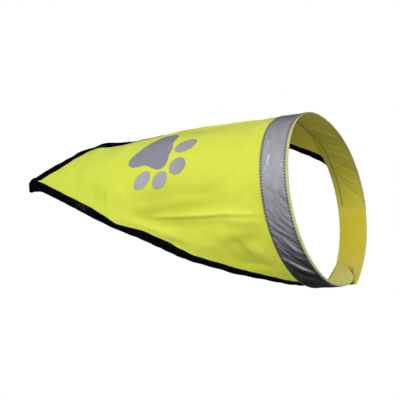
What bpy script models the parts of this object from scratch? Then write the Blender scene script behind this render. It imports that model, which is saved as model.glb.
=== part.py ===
# Dog safety vest: a bound triangular back panel sewn to a neck band with reflective tape.
# X points to the wearer's head, Z up, and Y to the wearer's left. The origin is the inside of the
# band at the top of the loop, where the neck carries it. Lengths below are in millimetres.

import math
from collections import namedtuple

import bmesh
import bpy
import numpy as np
from mathutils import Vector

MM = 0.001
GAP = 0.3

# Neck loop: an upright oval that leans back, so its top is nearer the tail than its foot.
LOOP_HALF_HEIGHT = 136.5
LOOP_HALF_WIDTH = 111.0
LOOP_EGG = -0.02
LOOP_LEAN = math.radians(23.2)
BAND_WIDTH = 42.5
BAND_WALL = 1.2
BAND_LAPS = 104
BAND_STRIPS = 4

# Closure at the foot of the loop: the left strap lies outside the end of the right strap. The right
# strap's front corner is rounded off, and the left strap's end slants a little forward.
RIGHT_STRAP_END = math.radians(170.0)
RIGHT_ROUND_START = math.radians(144.0)
RIGHT_ROUND = 33.0
RIGHT_ROUND_POWER = 2.2
LEFT_STRAP_END = math.radians(-214.0)
LEFT_SKEW_START = math.radians(-183.0)
LEFT_SKEW = 5.0
LAP_BLEND = math.radians(34.0)
LAP_SHIFT = 0.85

# How far the loop stands outside its oval, where its turn is counted as a run along the oval in
# panel half widths: from 2.2 on the left round the top to 1.8 on the right, 0.4 apart.
LOOP_DRAPE = (6.0, 2.6, 3.2, -1.6, -5.3, -3.5, -4.6, -1.6, -1.1, -0.6, -0.2)
LOOP_DRAPE_START = -2.2
DRAPE_STEP = 0.4

# Reflective tape on the outside of the band, from the near lap over the top to the left strap.
TAPE_WIDTH = 38.0
TAPE_SETBACK = 1.0
TAPE_THICK = 0.5
TAPE_RIGHT_END = math.radians(144.0)
TAPE_LEFT_END = math.radians(-149.0)

# Back panel: a triangle with its base along the loop and a blunt tip over the tail.
PANEL_HALF_WIDTH = 251.4
PANEL_WALL = 1.2
PANEL_END = 0.975
PANEL_ROWS = 50
PANEL_COLUMNS = 42
TAIL_CROWDING = 1.15
LEAF_COLUMNS = 2
TAIL_X = -399.3
TAIL_Z = -52.6
RIDGE_BOW = 11.6
RIDGE_BOW_FRONT = -11.8
EDGE_BOW = -0.143
EDGE_BOW_FRONT = -0.22
TAIL_CURL = 0.2
CURL_POWER = 0.85
TAIL_LEAN = math.radians(25.3)
ROW_SAMPLES = 49
SEAM_FADE = 26.0
TAIL_FADE = 5.0
SHARE_STEP = 0.002
PLACE_STEP = 0.5

# Bias binding folded over each side edge.
BIND_LEAF = 11.5
BIND_TAIL_REACH = 0.87
BIND_THICK = 0.8
BIND_ROUND = 1.9
BIND_SETBACK = 1.0
BIND_TAIL_ROWS = 2
BIND_TAIL_STEP = 0.006

# Paw print film, laid out on the flat panel.
FILM_THICK = 0.4
PAD_CELLS = 12
TOE_CELLS = 7

# How far the draped panel stands outside its bare form, at evenly spaced rows from the band to the
# tail and across from the left edge to the right. The curls turn the last of each hem outward.
Drape = namedtuple("Drape", "left_edge left_side left_top right_top right_side right_edge left_curl right_curl")
DRAPES = (
    Drape(*LOOP_DRAPE[3:9], 0.0, 0.0),
    Drape(-2.8, -4.1, -2.8, -2.7, -3.0, -4.8, 0.6, 1.6),
    Drape(-3.4, -2.9, -1.1, -1.2, -1.4, -2.0, 1.0, 1.5),
    Drape(-4.4, -1.8, -0.1, -0.1, -2.6, -3.9, 1.4, 5.1),
    Drape(-8.0, -4.1, -0.1, -0.3, -2.2, -5.6, 1.5, 2.7),
    Drape(-8.0, -4.6, -1.9, -0.9, 0.9, 1.1, 1.0, -0.7),
    Drape(0.3, -1.3, -2.5, -2.7, -3.4, -0.6, 1.5, -0.9),
    Drape(-0.9, -4.1, -3.9, -3.2, -3.6, -3.0, -0.6, -2.5),
    Drape(-1.7, -1.7, -1.7, -1.7, -1.7, -1.7, 0.0, 0.0),
)
CURL_REACH = 18.0

# A fold runs between two places on the flat panel, back from the band and across from the ridge.
# Across is positive to the wearer's right. Height is positive outward.
Fold = namedtuple("Fold", "back_1 across_1 back_2 across_2 height width")
FOLDS = (
    Fold(158, 84, 10, 99, 2.4, 10),
    Fold(186, 66, 72, 64, -3.0, 24),
    Fold(22, 122, 84, 152, -3.4, 19),
    Fold(150, 128, 214, 92, 2.6, 20),
    Fold(268, 30, 246, 58, -1.6, 12),
    Fold(300, -12, 292, 26, -1.2, 10),
    Fold(140, -88, 16, -104, 2.2, 10),
    Fold(176, -70, 84, -60, -2.7, 23),
    Fold(30, -130, 92, -150, -3.1, 18),
    Fold(158, -120, 206, -96, 2.4, 19),
    Fold(262, -34, 240, -60, -1.5, 12),
)

# Each toe is an oval: its centre on the flat panel, its half axes and its turn from the back line.
Toe = namedtuple("Toe", "name back across half_long half_short turn_degrees")
TOES = (
    Toe("paw_toe_1", 121.0, -17.5, 17.0, 11.0, 31.0),
    Toe("paw_toe_2", 127.0, 16.5, 13.5, 11.5, 41.0),
    Toe("paw_toe_3", 154.7, 34.2, 14.0, 10.0, 43.0),
    Toe("paw_toe_4", 183.3, 32.0, 16.0, 9.0, 40.0),
)
# The main pad is a disc whose edge swells into three lobes. Bearings turn from the back line.
PAD_BACK = 172.0
PAD_ACROSS = -12.0
PAD_RADIUS = 22.0
Swell = namedtuple("Swell", "bearing_degrees height spread_degrees")
PAD_SWELLS = (
    Swell(28.0, 18.0, 26.0),
    Swell(130.0, 14.5, 34.0),
    Swell(-175.0, 7.0, 22.0),
    Swell(-115.0, 26.0, 32.0),
)

AXIS = np.array([math.cos(LOOP_LEAN), 0.0, math.sin(LOOP_LEAN)])
RISE = np.array([-math.sin(LOOP_LEAN), 0.0, math.cos(LOOP_LEAN)])
RIGHT = np.array([0.0, -1.0, 0.0])

YELLOW = (0.69, 0.74, 0.09, 1.0)
SILVER = (0.36, 0.36, 0.38, 1.0)
BLACK = (0.012, 0.012, 0.014, 1.0)


def smooth_step(share):
    share = np.clip(share, 0.0, 1.0)
    return share * share * (3.0 - 2.0 * share)


def curve_through(values, at):
    """A smooth curve through evenly spaced values, at a place counted in their spacings."""
    values = [np.asarray(value, float) for value in values]
    values = [2 * values[0] - values[1], *values, 2 * values[-1] - values[-2]]
    at = min(max(at, 0.0), len(values) - 3.0)
    first = min(int(at), len(values) - 4)
    over = at - first
    before, start, end, after = values[first : first + 4]
    bend = 2 * before - 5 * start + 4 * end - after
    turn_back = 3 * (start - end) - before + after
    return 0.5 * (2 * start + (end - before) * over + bend * over**2 + turn_back * over**3)


def loop_plane(turn):
    """Rightward and upward place of the loop's midline, for a turn that is zero at the top."""
    across = LOOP_HALF_WIDTH * np.sin(turn) * (1.0 + LOOP_EGG * np.cos(turn))
    up = LOOP_HALF_HEIGHT * np.cos(turn)
    return across, up


LOOP_TURNS = np.linspace(-1.25 * math.pi, 1.25 * math.pi, 1801)
LOOP_ACROSS, LOOP_UP = loop_plane(LOOP_TURNS)
LOOP_STEPS = np.hypot(np.diff(LOOP_ACROSS), np.diff(LOOP_UP))
LOOP_RUN = np.concatenate([[0.0], np.cumsum(LOOP_STEPS)])
LOOP_RUN = LOOP_RUN - LOOP_RUN[-1] / 2
LOOP_SLOPE = np.unwrap(np.arctan2(-np.gradient(LOOP_UP, LOOP_RUN), np.gradient(LOOP_ACROSS, LOOP_RUN)))
LOOP_SLOPE = LOOP_SLOPE - LOOP_SLOPE[LOOP_SLOPE.size // 2]


def loop_drape(turn):
    run = float(np.interp(turn, LOOP_TURNS, LOOP_RUN)) / PANEL_HALF_WIDTH
    return float(curve_through(LOOP_DRAPE, (run - LOOP_DRAPE_START) / DRAPE_STEP))


SEAT = RISE * (LOOP_HALF_HEIGHT + loop_drape(0.0) - BAND_WALL / 2) + AXIS * BAND_WIDTH / 2


def unit(vector):
    return vector / np.linalg.norm(vector)


def loop_outward(turn):
    """The direction that points out of the loop, across its plane."""
    across, up = loop_plane(turn)
    ahead_across, ahead_up = loop_plane(turn + 0.001)
    return unit(RISE * (ahead_across - across) - RIGHT * (ahead_up - up))


def band_point(turn, along, lift):
    """A place on the band: turn round the loop, distance forward of its rear edge, lift outward."""
    skew = (LEFT_SKEW_START - turn) / (LEFT_SKEW_START - LEFT_STRAP_END)
    along = along + LEFT_SKEW * min(max(skew, 0.0), 1.0) ** 2
    across, up = loop_plane(turn)
    right_lap = smooth_step((turn - (RIGHT_STRAP_END - LAP_BLEND)) / (LAP_BLEND * 0.5))
    left_lap = smooth_step((LEFT_STRAP_END + LAP_BLEND * 1.5 - turn) / (LAP_BLEND * 0.75))
    lift = lift + loop_drape(turn) + LAP_SHIFT * (left_lap - right_lap)
    return RIGHT * across + RISE * up + AXIS * along + loop_outward(turn) * lift - SEAT


def panel_half_width(share):
    """Half the width of the cut panel at a share of the way from the band to the tail."""
    bow = EDGE_BOW * share * (1.0 - share)
    bow_front = EDGE_BOW_FRONT * share * (1.0 - share) * (1.0 - 2.0 * share)
    return PANEL_HALF_WIDTH * (1.0 - share + bow + bow_front)


def panel_row(share):
    """The bare section across the panel: the loop's own curve, flattening toward the tail."""
    share = max(share, 0.0)
    front = RISE * LOOP_HALF_HEIGHT
    tail = np.array([TAIL_X, 0.0, TAIL_Z])
    bow = 4.0 * share * (1.0 - share)
    ridge = front * (1.0 - share) + tail * share
    ridge = ridge + np.array([0.0, 0.0, bow * (RIDGE_BOW + RIDGE_BOW_FRONT * (1.0 - 2.0 * share))])
    curl = 1.0 + (TAIL_CURL - 1.0) * share**CURL_POWER
    lean = LOOP_LEAN + (TAIL_LEAN - LOOP_LEAN) * share
    rise = np.array([-math.sin(lean), 0.0, math.cos(lean)])
    places = np.linspace(-1.0, 1.0, 2 * ROW_SAMPLES - 1)
    slope = curl * np.interp(places * PANEL_HALF_WIDTH, LOOP_RUN, LOOP_SLOPE)
    step = panel_half_width(share) * (places[1] - places[0])
    across = np.concatenate([[0.0], np.cumsum((np.cos(slope[1:]) + np.cos(slope[:-1])) / 2 * step)])
    drop = np.concatenate([[0.0], np.cumsum((np.sin(slope[1:]) + np.sin(slope[:-1])) / 2 * step)])
    middle = ROW_SAMPLES - 1
    across = across - across[middle]
    drop = drop - drop[middle]
    return places, ridge + np.outer(across, RIGHT) - np.outer(drop, rise) - SEAT


ROWS = {}


def bare_point(share, place):
    """The panel's midline before folds. Place is -1 at the left edge and 1 at the right edge."""
    key = round(share, 6)
    if key not in ROWS:
        ROWS[key] = panel_row(share)
    places, points = ROWS[key]
    return np.array([np.interp(place, places, points[:, axis]) for axis in range(3)])


def surface_steps(point_at, share, place):
    """Short steps on a surface, back along the panel and across it to the right."""
    ahead = point_at(min(share + SHARE_STEP, 1.0), place) - point_at(max(share - SHARE_STEP, 0.0), place)
    step = PLACE_STEP / panel_half_width(share)
    across = point_at(share, min(place + step, 1.0)) - point_at(share, max(place - step, -1.0))
    return ahead, across


def drape_direction(share, place):
    """Square to the bare panel, and at the seam out of the loop."""
    off_seam = smooth_step(share * BACK_LENGTH / SEAM_FADE)
    turn = float(np.interp(place * PANEL_HALF_WIDTH, LOOP_RUN, LOOP_TURNS))
    square = unit(np.cross(*surface_steps(bare_point, share, place)))
    return unit(square * off_seam + loop_outward(turn) * (1.0 - off_seam))


BACK_LENGTH = float(np.linalg.norm(panel_row(0.0)[1][ROW_SAMPLES - 1] - panel_row(1.0)[1][ROW_SAMPLES - 1]))


def fold_height(back, across):
    """How far the cloth stands out at a place on the flat panel."""
    height = 0.0
    for fold in FOLDS:
        start = np.array([fold.back_1, fold.across_1], float)
        run = np.array([fold.back_2, fold.across_2], float) - start
        offset = np.array([back, across]) - start
        share = float(np.dot(offset, run) / np.dot(run, run))
        nearest = min(max(share, 0.0), 1.0)
        distance = np.linalg.norm(offset - run * nearest)
        fade = 0.55 + 0.45 * math.sin(math.pi * nearest)
        height += fold.height * fade * math.exp(-((distance / fold.width) ** 2))
    return height


def drape_height(share, place):
    """How far the panel's broad drape stands out at a share of the way back."""
    row = Drape(*curve_through(DRAPES, share * (len(DRAPES) - 1)))
    height = curve_through(row[:6], (place + 1.0) / DRAPE_STEP)
    half_width = panel_half_width(share)
    reach = max(1.0 - (1.0 - abs(place)) * half_width / min(CURL_REACH, half_width), 0.0)
    fade = smooth_step(share * BACK_LENGTH / SEAM_FADE) * smooth_step((1.0 - share) * TAIL_FADE)
    curl = row.right_curl if place > 0 else row.left_curl
    return float(height + curl * reach**2 * fade)


def draped_point(share, place):
    """The panel's midline with its drape and folds."""
    back = share * BACK_LENGTH
    across = place * panel_half_width(share)
    seam_fade = float(smooth_step(back / SEAM_FADE))
    tail_fade = float(smooth_step((1.0 - share) * TAIL_FADE))
    height = fold_height(back, across) * seam_fade * tail_fade + drape_height(share, place)
    return bare_point(share, place) + drape_direction(share, place) * height


def panel_point(share, place, lift):
    """A place on the draped panel, or past its side edge, moved outward by the lift."""
    inside = min(max(place, -1.0), 1.0)
    ahead, across = surface_steps(draped_point, share, inside)
    beyond = (place - inside) * panel_half_width(share)
    return draped_point(share, inside) + unit(across) * beyond + unit(np.cross(ahead, across)) * lift


def flat_point(back, across, lift):
    share = back / BACK_LENGTH
    return panel_point(share, across / panel_half_width(share), lift)


def material(name, colour, roughness, metallic):
    made = bpy.data.materials.new(name)
    made.use_nodes = True
    shader = made.node_tree.nodes["Principled BSDF"]
    shader.inputs["Base Color"].default_value = colour
    shader.inputs["Roughness"].default_value = roughness
    shader.inputs["Metallic"].default_value = metallic
    made.diffuse_color = colour
    return made


def sheet_from_grid(name, columns, rows, place_of, thick, surface):
    """A grid laid through place_of(u, v), both from 0 to 1, and given a wall by Solidify."""
    mesh = bpy.data.meshes.new(name)
    shape = bmesh.new()
    bmesh.ops.create_grid(shape, x_segments=columns, y_segments=rows, size=0.5)
    for vertex in shape.verts:
        vertex.co = Vector(place_of(vertex.co.x + 0.5, vertex.co.y + 0.5)) * MM
    shape.to_mesh(mesh)
    shape.free()
    mesh.materials.append(surface)
    made = bpy.data.objects.new(name, mesh)
    vest.objects.link(made)
    wall = made.modifiers.new("wall", "SOLIDIFY")
    wall.thickness = thick * MM
    wall.offset = 0.0
    wall.use_even_offset = True
    return made


for leftover in list(bpy.data.objects):
    bpy.data.objects.remove(leftover, do_unlink=True)

vest = bpy.data.collections.new("dog_safety_vest")
bpy.context.scene.collection.children.link(vest)

yellow_cloth = material("yellow_cloth", YELLOW, 0.75, 0.0)
silver_tape = material("silver_tape", SILVER, 0.45, 0.3)
black_binding = material("black_binding", BLACK, 0.8, 0.0)
silver_film = material("silver_film", SILVER, 0.5, 0.2)

# Back panel, from just behind the band to its blunt tip
PANEL_START = GAP / BACK_LENGTH


def row_share(row):
    """The share of the back for a row of the panel, or for a row of binding past its tip."""
    past = max(row - PANEL_ROWS, 0)
    to_tail = (1.0 - (row - past) / PANEL_ROWS) ** TAIL_CROWDING
    return PANEL_START + (PANEL_END - PANEL_START) * (1.0 - to_tail) + past * BIND_TAIL_STEP


def leaf_reach(share):
    """How far the binding's leaf reaches in from the side edge, less where the panel narrows."""
    return min(BIND_LEAF, BIND_TAIL_REACH * panel_half_width(share))


def on_panel(u, v):
    share = row_share(round(u * PANEL_ROWS))
    column = round(v * PANEL_COLUMNS)
    leaf = leaf_reach(share) / panel_half_width(share)
    from_edge = min(column, PANEL_COLUMNS - column)
    hand = 1.0 if 2 * column > PANEL_COLUMNS else -1.0
    if from_edge <= LEAF_COLUMNS:
        place = 1.0 - leaf * from_edge / LEAF_COLUMNS
    else:
        place = (1.0 - leaf) * (PANEL_COLUMNS / 2 - from_edge) / (PANEL_COLUMNS / 2 - LEAF_COLUMNS)
    return panel_point(share, hand * place, 0.0)


sheet_from_grid("back_panel", PANEL_ROWS, PANEL_COLUMNS, on_panel, PANEL_WALL, yellow_cloth)


# Neck band, one strip from the end of the left strap round the top to the end of the right strap
def on_band(u, v):
    turn = LEFT_STRAP_END + (RIGHT_STRAP_END - LEFT_STRAP_END) * u
    rounding = max(turn - RIGHT_ROUND_START, 0.0) / (RIGHT_STRAP_END - RIGHT_ROUND_START)
    return band_point(turn, (BAND_WIDTH - RIGHT_ROUND * rounding**RIGHT_ROUND_POWER) * v, 0.0)


sheet_from_grid("neck_band", BAND_LAPS, BAND_STRIPS, on_band, BAND_WALL, yellow_cloth)


# Reflective tape, a strip sewn on the outside of the band
TAPE_LIFT = BAND_WALL / 2 + GAP + TAPE_THICK / 2


def on_tape(u, v):
    turn = TAPE_LEFT_END + (TAPE_RIGHT_END - TAPE_LEFT_END) * u
    return band_point(turn, TAPE_SETBACK + TAPE_WIDTH * v, TAPE_LIFT)


sheet_from_grid("reflective_tape", BAND_LAPS, 1, on_tape, TAPE_THICK, silver_tape)

# Bias binding, a strip wrapped over each side edge of the panel
BIND_LIFT = PANEL_WALL / 2 + GAP + BIND_THICK / 2
# Across the wrap: how far in from the edge as a share of the leaf, or out as a share of the round,
# and how far to the outer side.
Wrap = namedtuple("Wrap", "inward side")
WRAPS = (
    Wrap(1.0, -1.0),
    Wrap(0.5, -1.0),
    Wrap(0.0, -1.0),
    Wrap(-0.6, -0.85),
    Wrap(-1.0, 0.0),
    Wrap(-0.6, 0.85),
    Wrap(0.0, 1.0),
    Wrap(0.5, 1.0),
    Wrap(1.0, 1.0),
)


def binding(name, hand):
    """The binding of the right edge for hand 1 and of the left edge for hand -1."""

    rows = PANEL_ROWS + BIND_TAIL_ROWS

    def on_binding(u, v):
        share = max(row_share(round(u * rows)), BIND_SETBACK / BACK_LENGTH)
        wrap = WRAPS[round(v * (len(WRAPS) - 1))]
        width = panel_half_width(share)
        inward = wrap.inward * (leaf_reach(share) if wrap.inward > 0 else BIND_ROUND)
        return panel_point(share, hand * (1.0 - inward / width), wrap.side * BIND_LIFT)

    sheet_from_grid(name, rows, len(WRAPS) - 1, on_binding, BIND_THICK, black_binding)


binding("binding_right", 1.0)
binding("binding_left", -1.0)

# Paw print film, a pad and four toes laid on the panel
FILM_LIFT = PANEL_WALL / 2 + GAP + FILM_THICK / 2 + 0.1


def disc_place(u, v):
    """A place in the unit disc for a place in the unit square."""
    x = 2.0 * u - 1.0
    y = 2.0 * v - 1.0
    return x * math.sqrt(1.0 - y * y / 2.0), y * math.sqrt(1.0 - x * x / 2.0)


def pad_radius(bearing):
    radius = PAD_RADIUS
    for swell in PAD_SWELLS:
        off = (bearing - swell.bearing_degrees + 180.0) % 360.0 - 180.0
        radius += swell.height * math.exp(-((off / swell.spread_degrees) ** 2))
    return radius


def on_pad(u, v):
    x, y = disc_place(u, v)
    radius = pad_radius(math.degrees(math.atan2(y, x)))
    return flat_point(PAD_BACK + x * radius, PAD_ACROSS + y * radius, FILM_LIFT)


sheet_from_grid("paw_pad", PAD_CELLS, PAD_CELLS, on_pad, FILM_THICK, silver_film)

for toe in TOES:

    def on_toe(u, v, toe=toe):
        x, y = disc_place(u, v)
        turn = math.radians(toe.turn_degrees)
        long_way = x * toe.half_long
        short_way = y * toe.half_short
        back = toe.back + long_way * math.cos(turn) - short_way * math.sin(turn)
        across = toe.across + long_way * math.sin(turn) + short_way * math.cos(turn)
        return flat_point(back, across, FILM_LIFT)

    sheet_from_grid(toe.name, TOE_CELLS, TOE_CELLS, on_toe, FILM_THICK, silver_film)
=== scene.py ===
import math
from collections import namedtuple

import bmesh
import bpy
import numpy as np
from mathutils import Matrix, Vector, noise


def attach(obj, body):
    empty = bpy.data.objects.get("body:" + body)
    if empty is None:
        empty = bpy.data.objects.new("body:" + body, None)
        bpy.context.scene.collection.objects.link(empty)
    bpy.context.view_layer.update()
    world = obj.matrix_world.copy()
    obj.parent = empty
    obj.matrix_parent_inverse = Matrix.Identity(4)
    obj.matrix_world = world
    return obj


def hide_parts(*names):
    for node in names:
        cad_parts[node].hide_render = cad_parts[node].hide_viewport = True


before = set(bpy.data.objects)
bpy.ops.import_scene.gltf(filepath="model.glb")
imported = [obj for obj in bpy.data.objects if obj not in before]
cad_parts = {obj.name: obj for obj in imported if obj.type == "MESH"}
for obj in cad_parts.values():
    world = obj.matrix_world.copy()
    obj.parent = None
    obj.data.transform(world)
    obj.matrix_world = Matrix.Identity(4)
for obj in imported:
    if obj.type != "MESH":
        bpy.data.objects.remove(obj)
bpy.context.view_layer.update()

# Back panel
# One triangle of fluorescent yellow plain-weave polyester. Its base is sewn to the neck band and
# its blunt tip hangs over the tail. It bends over the back and falls into soft folds.
MM = 0.001

# The neck loop, in mm, is an oval that is a little wider below, in a plane that leans back.
LOOP_HALF_HEIGHT = 136.5
LOOP_HALF_WIDTH = 111.0
LOOP_EGG = -0.02
LOOP_LEAN = math.radians(23.2)
BAND_WIDTH = 42.5
CAD_WALL = 1.2
AXIS = np.array([math.cos(LOOP_LEAN), 0.0, math.sin(LOOP_LEAN)])
RISE = np.array([-math.sin(LOOP_LEAN), 0.0, math.cos(LOOP_LEAN)])
RIGHT = np.array([0.0, -1.0, 0.0])

# The panel, in mm and in shares of its length: half its width at the band, its blunt end, the place
# of its point, the bows of its ridge and of its side edges, and how it flattens toward the tail.
PANEL_HALF_WIDTH = 251.4
PANEL_END = 0.975
TAIL_X = -399.3
TAIL_Z = -52.6
RIDGE_BOW = 11.6
RIDGE_BOW_FRONT = -11.8
EDGE_BOW = -0.143
EDGE_BOW_FRONT = -0.22
TAIL_CURL = 0.2
CURL_POWER = 0.85
TAIL_LEAN = math.radians(25.3)
ROW_SAMPLES = 201
CLOTH_THICK = 0.8
SEAM_GAP = 0.3
FLARE_HEIGHT = 2.6
FLARE_MIDDLE_DEGREES = -30.0
FLARE_SPREAD_DEGREES = 30.0

# How far the loop stands outside its oval, by its run along the oval in panel half widths.
LOOP_DRAPE = (6.0, 2.6, 3.2, -1.6, -5.3, -3.5, -4.6, -1.6, -1.1, -0.6, -0.2)
LOOP_DRAPE_START = -2.2
DRAPE_STEP = 0.4

# How far the draped panel stands outside its bare form, in evenly spaced rows from the band to the
# tail: at six places from the left edge to the right, and then how much the left and the right hem
# curl outward.
DRAPE_PLACES = 6
DRAPES = (
    (*LOOP_DRAPE[3:9], 0.0, 0.0),
    (-2.8, -4.1, -2.8, -2.7, -3.0, -4.8, 0.6, 1.6),
    (-3.4, -2.9, -1.1, -1.2, -1.4, -2.0, 1.0, 1.5),
    (-4.4, -1.8, -0.1, -0.1, -2.6, -3.9, 1.4, 5.1),
    (-8.0, -4.1, -0.1, -0.3, -2.2, -5.6, 1.5, 2.7),
    (-8.0, -4.6, -1.9, -0.9, 0.9, 1.1, 1.0, -0.7),
    (0.3, -1.3, -2.5, -2.7, -3.4, -0.6, 1.5, -0.9),
    (-0.9, -4.1, -3.9, -3.2, -3.6, -3.0, -0.6, -2.5),
    (-1.7, -1.7, -1.7, -1.7, -1.7, -1.7, 0.0, 0.0),
)


def smooth_step(share):
    """From 0 to 1, with a soft start and a soft end."""
    share = np.clip(share, 0.0, 1.0)
    return share * share * (3.0 - 2.0 * share)


def bell(off, reach):
    """1 on a line and less on both sides of it, with little left at twice the reach."""
    return np.exp(-((off / reach) ** 2))


def curve_weights(count, at):
    """How much each of evenly spaced values counts in a smooth curve through them, at places."""
    at = np.clip(at, 0.0, count - 1.0)
    first = np.minimum(at.astype(int), count - 2)
    over = at - first
    weights = np.zeros((at.size, count + 2))
    lines = np.arange(at.size)
    weights[lines, first] = (-over + 2.0 * over**2 - over**3) / 2.0
    weights[lines, first + 1] = 1.0 + (-5.0 * over**2 + 3.0 * over**3) / 2.0
    weights[lines, first + 2] = (over + 4.0 * over**2 - 3.0 * over**3) / 2.0
    weights[lines, first + 3] = (over**3 - over**2) / 2.0
    weights[:, 1] += 2.0 * weights[:, 0]
    weights[:, 2] -= weights[:, 0]
    weights[:, -2] += 2.0 * weights[:, -1]
    weights[:, -3] -= weights[:, -1]
    return weights[:, 1:-1]


def loop_plane(turn):
    """Rightward and upward place of the loop's midline, for a turn that is zero at the top."""
    across = LOOP_HALF_WIDTH * np.sin(turn) * (1.0 + LOOP_EGG * np.cos(turn))
    return across, LOOP_HALF_HEIGHT * np.cos(turn)


# The loop's midline from its top both ways, to past the lap: its turn, its run in mm and its slope.
LOOP_TURN_END = 1.25 * math.pi
LOOP_SAMPLES = 3601
loop_turns = np.linspace(-LOOP_TURN_END, LOOP_TURN_END, LOOP_SAMPLES)
loop_across, loop_up = loop_plane(loop_turns)
loop_run = np.concatenate([[0.0], np.cumsum(np.hypot(np.diff(loop_across), np.diff(loop_up)))])
loop_run = loop_run - loop_run[-1] / 2
loop_slope = np.unwrap(np.arctan2(-np.gradient(loop_up, loop_run), np.gradient(loop_across, loop_run)))
loop_slope = loop_slope - loop_slope[loop_slope.size // 2]


def loop_drape(turn):
    """How far the loop stands outside its oval."""
    run = np.interp(turn, loop_turns, loop_run) / PANEL_HALF_WIDTH
    return curve_weights(len(LOOP_DRAPE), (run - LOOP_DRAPE_START) / DRAPE_STEP) @ np.array(LOOP_DRAPE)


def unit(vectors):
    """Vectors made 1 long."""
    return vectors / np.linalg.norm(vectors, axis=-1, keepdims=True)


SMALL_TURN = 0.001


def loop_outward(turn):
    """Directions that point out of the loop, across its plane."""
    across, up = loop_plane(turn)
    ahead_across, ahead_up = loop_plane(turn + SMALL_TURN)
    return unit(np.outer(ahead_across - across, RISE) - np.outer(ahead_up - up, RIGHT))


def seam_flare(turn):
    """How far the band and the seam behind it stand out over the wearer's left shoulder."""
    return FLARE_HEIGHT * bell(np.degrees(turn) - FLARE_MIDDLE_DEGREES, FLARE_SPREAD_DEGREES)


# The origin is on the inside of the band, at the top of the loop.
top_drape = float(loop_drape(np.zeros(1))[0])
SEAT = RISE * (LOOP_HALF_HEIGHT + top_drape - CAD_WALL / 2) + AXIS * BAND_WIDTH / 2


def panel_half_width(share):
    """Half the width of the cut panel at a share of the way from the band to the tail."""
    bow = EDGE_BOW * share * (1.0 - share)
    bow_front = EDGE_BOW_FRONT * share * (1.0 - share) * (1.0 - 2.0 * share)
    return PANEL_HALF_WIDTH * (1.0 - share + bow + bow_front)


def panel_row(share):
    """The bare section across the panel: the loop's own curve, flattening toward the tail."""
    share = max(share, 0.0)
    bow = 4.0 * share * (1.0 - share)
    lift = bow * (RIDGE_BOW + RIDGE_BOW_FRONT * (1.0 - 2.0 * share))
    tail = np.array([TAIL_X, 0.0, TAIL_Z])
    ridge = RISE * LOOP_HALF_HEIGHT * (1.0 - share) + tail * share + np.array([0.0, 0.0, lift])
    curl = 1.0 + (TAIL_CURL - 1.0) * share**CURL_POWER
    lean = LOOP_LEAN + (TAIL_LEAN - LOOP_LEAN) * share
    rise = np.array([-math.sin(lean), 0.0, math.cos(lean)])
    places = np.linspace(-1.0, 1.0, 2 * ROW_SAMPLES - 1)
    slope = curl * np.interp(places * PANEL_HALF_WIDTH, loop_run, loop_slope)
    step = panel_half_width(share) * (places[1] - places[0])
    across = np.concatenate([[0.0], np.cumsum((np.cos(slope[1:]) + np.cos(slope[:-1])) / 2 * step)])
    drop = np.concatenate([[0.0], np.cumsum((np.sin(slope[1:]) + np.sin(slope[:-1])) / 2 * step)])
    across = across - across[ROW_SAMPLES - 1]
    drop = drop - drop[ROW_SAMPLES - 1]
    return places, ridge + np.outer(across, RIGHT) - np.outer(drop, rise) - SEAT


ridge_start = panel_row(0.0)[1][ROW_SAMPLES - 1]
ridge_end = panel_row(1.0)[1][ROW_SAMPLES - 1]
BACK_LENGTH = float(np.linalg.norm(ridge_start - ridge_end))
SEAM_SHARE = SEAM_GAP / BACK_LENGTH

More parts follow.
